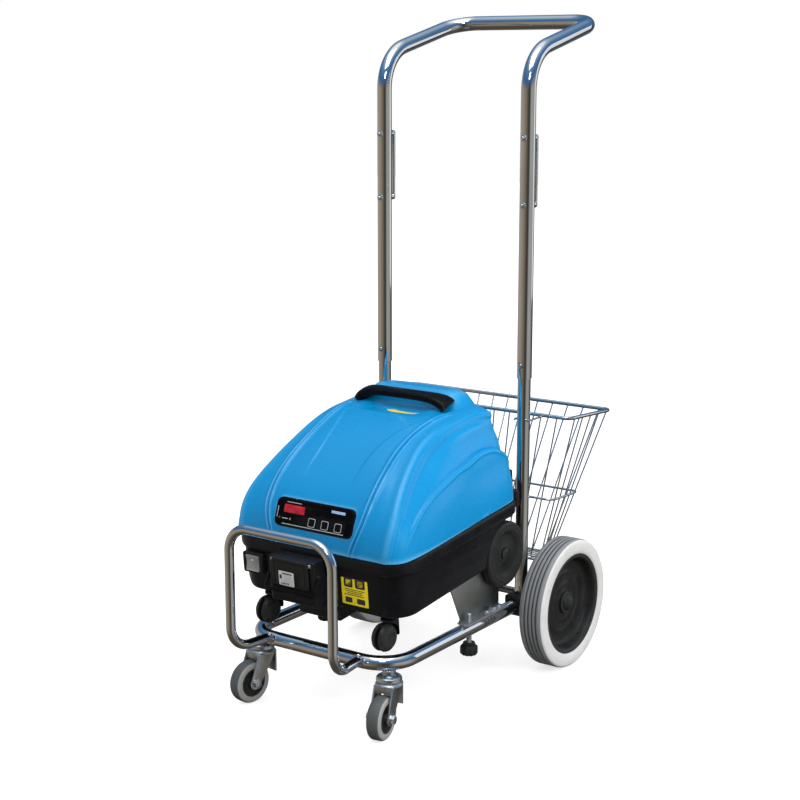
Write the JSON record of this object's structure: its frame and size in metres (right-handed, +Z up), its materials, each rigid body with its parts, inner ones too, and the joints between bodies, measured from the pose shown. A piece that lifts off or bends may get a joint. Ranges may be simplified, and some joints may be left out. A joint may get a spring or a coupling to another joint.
{
  "type": "steam cleaner",
  "caption": "Compact steam cleaning unit with a moulded hood, resting on a tubular push trolley with large rear wheels, front casters, a telescoping handle and a wire basket.",
  "frame": {"origin": "on the floor, at the centre of the bounding box's base", "axes": "+Z up along the uprights, +Y towards the user at the push handle, +X to the user's right facing the front"},
  "size_m": [0.392, 0.6407, 0.9854],
  "materials": {
    "chrome": "polished chromed tube",
    "stainless": "brushed",
    "zinc": "zinc plated, satin",
    "copper": "satin",
    "blue_plastic": "satin gloss",
    "black_plastic": "satin",
    "grey_rubber": "matte",
    "red_window": "gloss",
    "clear_tank": "translucent satin",
    "green_board": "satin"
  },
  "bodies": {
    "trolley": {"base_frame": "chrome", "post_left": "stainless", "post_right": "stainless", "wheel_axle": "zinc", "axle_block_left": "black_plastic", "axle_block_right": "black_plastic", "front_bumper": "chrome", "cradle_bracket_left": "stainless", "cradle_bracket_right": "stainless", "bracket_bolt_left": "zinc", "bracket_bolt_right": "zinc", "basket": "chrome", "caster_left_stem": "zinc", "caster_right_stem": "zinc"},
    "push_handle": {"push_handle": "chrome", "cord_hook_left": "stainless", "cord_hook_right": "stainless"},
    "unit": {"hood": "blue_plastic", "lower_shell": "black_plastic", "carry_handle": "black_plastic", "control_panel": "black_plastic", "display_window": "red_window", "switch_frame": "black_plastic", "connector_box": "black_plastic", "unit_axle": "zinc", "boiler": "stainless", "heating_element": "copper", "safety_valve": "copper", "water_tank": "clear_tank", "pump": "black_plastic", "solenoid_valve": "black_plastic", "control_board": "green_board"},
    "socket_cover": {"socket_cover": "black_plastic"},
    "locking_lever": {"locking_lever": "zinc"},
    "power_switch": {"power_switch": "black_plastic"},
    "rear_wheel_left": {"rear_wheel_left_tyre": "grey_rubber", "rear_wheel_left_hub": "black_plastic"},
    "caster_left": {"caster_left_fork": "zinc", "caster_left_axle": "zinc"},
    "caster_left_wheel": {"caster_left_tyre": "grey_rubber", "caster_left_hub": "black_plastic"},
    "clamp_knob_left": {"clamp_knob_left": "black_plastic"},
    "snap_button_left": {"snap_button_left": "zinc"},
    "unit_wheel_left": {"unit_wheel_left": "black_plastic"},
    "unit_caster_left": {"unit_caster_left_fork": "black_plastic"},
    "unit_caster_left_wheel": {"unit_caster_left_wheel": "black_plastic"},
    "rear_wheel_right": {"rear_wheel_right_tyre": "grey_rubber", "rear_wheel_right_hub": "black_plastic"},
    "caster_right": {"caster_right_fork": "zinc", "caster_right_axle": "zinc"},
    "caster_right_wheel": {"caster_right_tyre": "grey_rubber", "caster_right_hub": "black_plastic"},
    "clamp_knob_right": {"clamp_knob_right": "black_plastic"},
    "snap_button_right": {"snap_button_right": "zinc"},
    "unit_wheel_right": {"unit_wheel_right": "black_plastic"},
    "unit_caster_right": {"unit_caster_right_fork": "black_plastic"},
    "unit_caster_right_wheel": {"unit_caster_right_wheel": "black_plastic"},
    "panel_button_1": {"panel_button_1": "black_plastic"},
    "panel_button_2": {"panel_button_2": "black_plastic"},
    "panel_button_3": {"panel_button_3": "black_plastic"}
  },
  "joints": [
    {"name": "rear_wheel_left_spin", "type": "hinge", "parent": "trolley", "child": "rear_wheel_left", "pos_m": [-0.176, 0.1545, 0.1], "axis": [1, 0, 0], "continuous": true},
    {"name": "caster_left_swivel", "type": "hinge", "parent": "trolley", "child": "caster_left", "pos_m": [-0.114, -0.2185, 0.074], "axis": [0, 0, 1], "continuous": true},
    {"name": "caster_left_spin", "type": "hinge", "parent": "caster_left", "child": "caster_left_wheel", "pos_m": [-0.11834, -0.24312, 0.031], "axis": [0.9848, -0.1736, 0], "continuous": true},
    {"name": "clamp_knob_left_turn", "type": "hinge", "parent": "trolley", "child": "clamp_knob_left", "pos_m": [-0.132, -0.043, 0.075], "axis": [0, 0, 1], "range_deg": [0, 720]},
    {"name": "snap_button_left_press", "type": "slide", "parent": "push_handle", "child": "snap_button_left", "axis": [0, 1, 0], "range_m": [0, 0.0022], "stiffness_N_per_m": 200},
    {"name": "unit_wheel_left_spin", "type": "hinge", "parent": "unit", "child": "unit_wheel_left", "pos_m": [-0.145, 0.04751, 0.19597], "axis": [1, 0, 0], "continuous": true},
    {"name": "unit_caster_left_swivel", "type": "hinge", "parent": "unit", "child": "unit_caster_left", "pos_m": [-0.11, -0.19445, 0.15258], "axis": [0, -0.0958, 0.9954], "continuous": true},
    {"name": "unit_caster_left_spin", "type": "hinge", "parent": "unit_caster_left", "child": "unit_caster_left_wheel", "pos_m": [-0.11, -0.20765, 0.13322], "axis": [1, 0, 0], "continuous": true},
    {"name": "rear_wheel_right_spin", "type": "hinge", "parent": "trolley", "child": "rear_wheel_right", "pos_m": [0.176, 0.1545, 0.1], "axis": [1, 0, 0], "continuous": true},
    {"name": "caster_right_swivel", "type": "hinge", "parent": "trolley", "child": "caster_right", "pos_m": [0.114, -0.2185, 0.074], "axis": [0, 0, 1], "continuous": true},
    {"name": "caster_right_spin", "type": "hinge", "parent": "caster_right", "child": "caster_right_wheel", "pos_m": [0.11834, -0.24312, 0.031], "axis": [0.9848, 0.1736, 0], "continuous": true},
    {"name": "clamp_knob_right_turn", "type": "hinge", "parent": "trolley", "child": "clamp_knob_right", "pos_m": [0.132, -0.043, 0.075], "axis": [0, 0, 1], "range_deg": [0, 720]},
    {"name": "snap_button_right_press", "type": "slide", "parent": "push_handle", "child": "snap_button_right", "axis": [0, 1, 0], "range_m": [0, 0.0022], "stiffness_N_per_m": 200},
    {"name": "unit_wheel_right_spin", "type": "hinge", "parent": "unit", "child": "unit_wheel_right", "pos_m": [0.133, 0.04751, 0.19597], "axis": [1, 0, 0], "continuous": true},
    {"name": "unit_caster_right_swivel", "type": "hinge", "parent": "unit", "child": "unit_caster_right", "pos_m": [0.098, -0.19445, 0.15258], "axis": [0, -0.0958, 0.9954], "continuous": true},
    {"name": "unit_caster_right_spin", "type": "hinge", "parent": "unit_caster_right", "child": "unit_caster_right_wheel", "pos_m": [0.098, -0.20765, 0.13322], "axis": [1, 0, 0], "continuous": true},
    {"name": "handle_slide", "type": "slide", "parent": "trolley", "child": "push_handle", "axis": [0, 0, 1], "range_m": [0, 0.1]},
    {"name": "unit_lift", "type": "slide", "parent": "trolley", "child": "unit", "axis": [0, 0, 1], "range_m": [0, 0.2]},
    {"name": "panel_button_1_press", "type": "slide", "parent": "unit", "child": "panel_button_1", "axis": [0, 0.9483, -0.3173], "range_m": [0, 0.001], "stiffness_N_per_m": 300},
    {"name": "panel_button_2_press", "type": "slide", "parent": "unit", "child": "panel_button_2", "axis": [0, 0.9483, -0.3173], "range_m": [0, 0.001], "stiffness_N_per_m": 300},
    {"name": "panel_button_3_press", "type": "slide", "parent": "unit", "child": "panel_button_3", "axis": [0, 0.9483, -0.3173], "range_m": [0, 0.001], "stiffness_N_per_m": 300},
    {"name": "power_switch_rock", "type": "hinge", "parent": "unit", "child": "power_switch", "pos_m": [-0.116, -0.23146, 0.20829], "axis": [1, 0, 0], "range_deg": [-5, 10]},
    {"name": "socket_cover_open", "type": "hinge", "parent": "unit", "child": "socket_cover", "pos_m": [-0.027, -0.25982, 0.23369], "axis": [-1, 0, 0], "range_deg": [0, 110]},
    {"name": "locking_lever_swing", "type": "hinge", "parent": "unit", "child": "locking_lever", "pos_m": [-0.027, -0.24756, 0.21377], "axis": [-1, 0, 0], "range_deg": [0, 100]}
  ]
}
